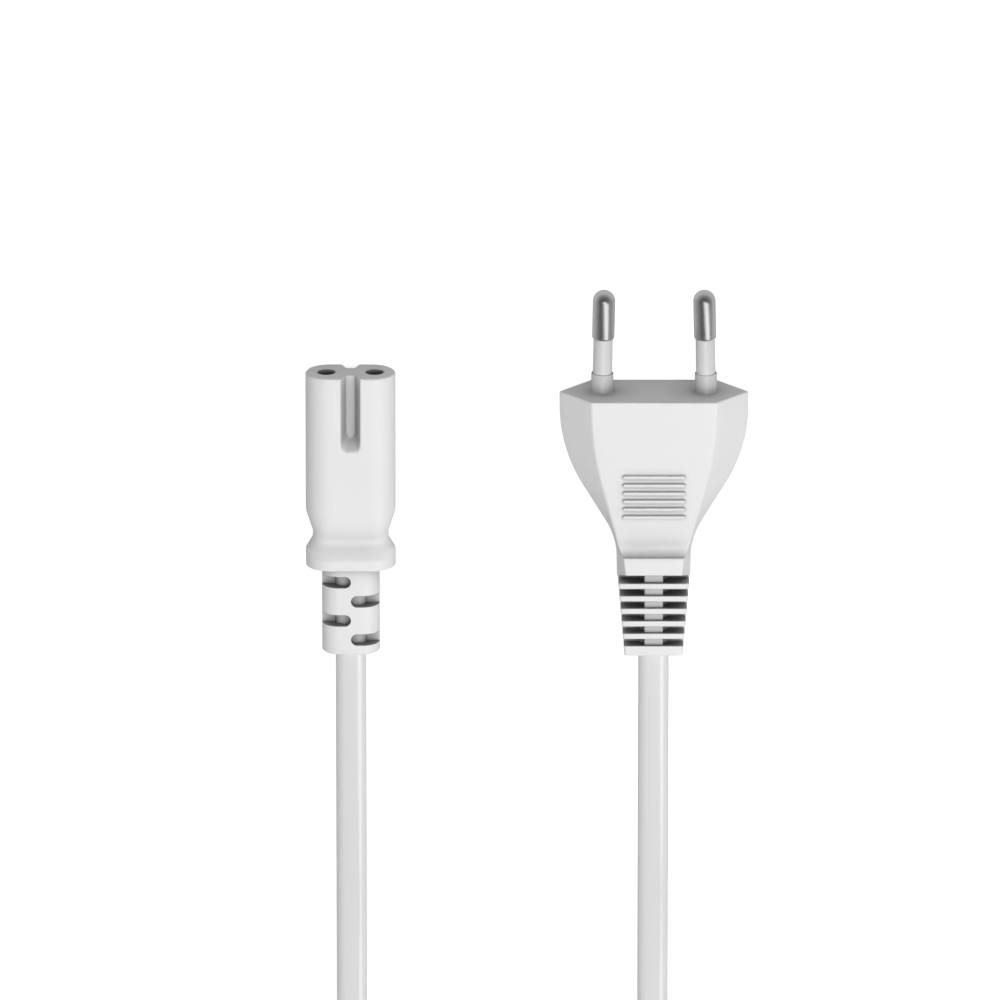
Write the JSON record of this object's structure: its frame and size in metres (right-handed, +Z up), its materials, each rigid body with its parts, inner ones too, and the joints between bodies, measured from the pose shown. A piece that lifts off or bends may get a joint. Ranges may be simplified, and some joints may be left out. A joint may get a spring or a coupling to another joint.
{
  "type": "europlug mains lead",
  "caption": "Flat white mains lead: a moulded europlug with sleeved pins, a flat cord wound in a tied coil, and a figure-8 appliance connector.",
  "frame": {"origin": "on the surface it lies on, under the middle of the plug's own box, pins and strain relief included", "axes": "+Y along the plug towards its pin tips, +Z up, out of the plug's upper broad face, +X to the right when looking along +Y; the connector lies beside the plug at -X and the coil at -Y"},
  "size_m": [0.0819, 0.2374, 0.013],
  "materials": {
    "housing_pvc": "white PVC with a fine satin grain",
    "cord_pvc": "white PVC sheath, satin",
    "sleeve_plastic": "white, smooth",
    "inner_plastic": "hard off-white plastic, unseen",
    "core_blue": "blue PVC insulation, unseen",
    "core_brown": "brown PVC insulation, unseen",
    "nickel": "bright nickel plate on brass",
    "copper": null,
    "tie_plastic": "white plastic strip"
  },
  "bodies": {
    "root": {"connector_body": "housing_pvc", "plug_body": "housing_pvc", "cord_coil": "cord_pvc", "cord_connector_run": "cord_pvc", "cord_plug_run": "cord_pvc", "pin_sleeve_left": "sleeve_plastic", "pin_sleeve_right": "sleeve_plastic", "contact_carrier": "inner_plastic", "pin_bridge": "inner_plastic", "connector_core_left": "core_blue", "plug_core_left": "core_blue", "connector_core_right": "core_brown", "plug_core_right": "core_brown", "contact_left": "nickel", "contact_right": "nickel", "pin_left": "nickel", "pin_right": "nickel", "connector_wire_left": "copper", "connector_wire_right": "copper", "plug_wire_left": "copper", "plug_wire_right": "copper", "coil_tie": "tie_plastic"}
  },
  "joints": []
}
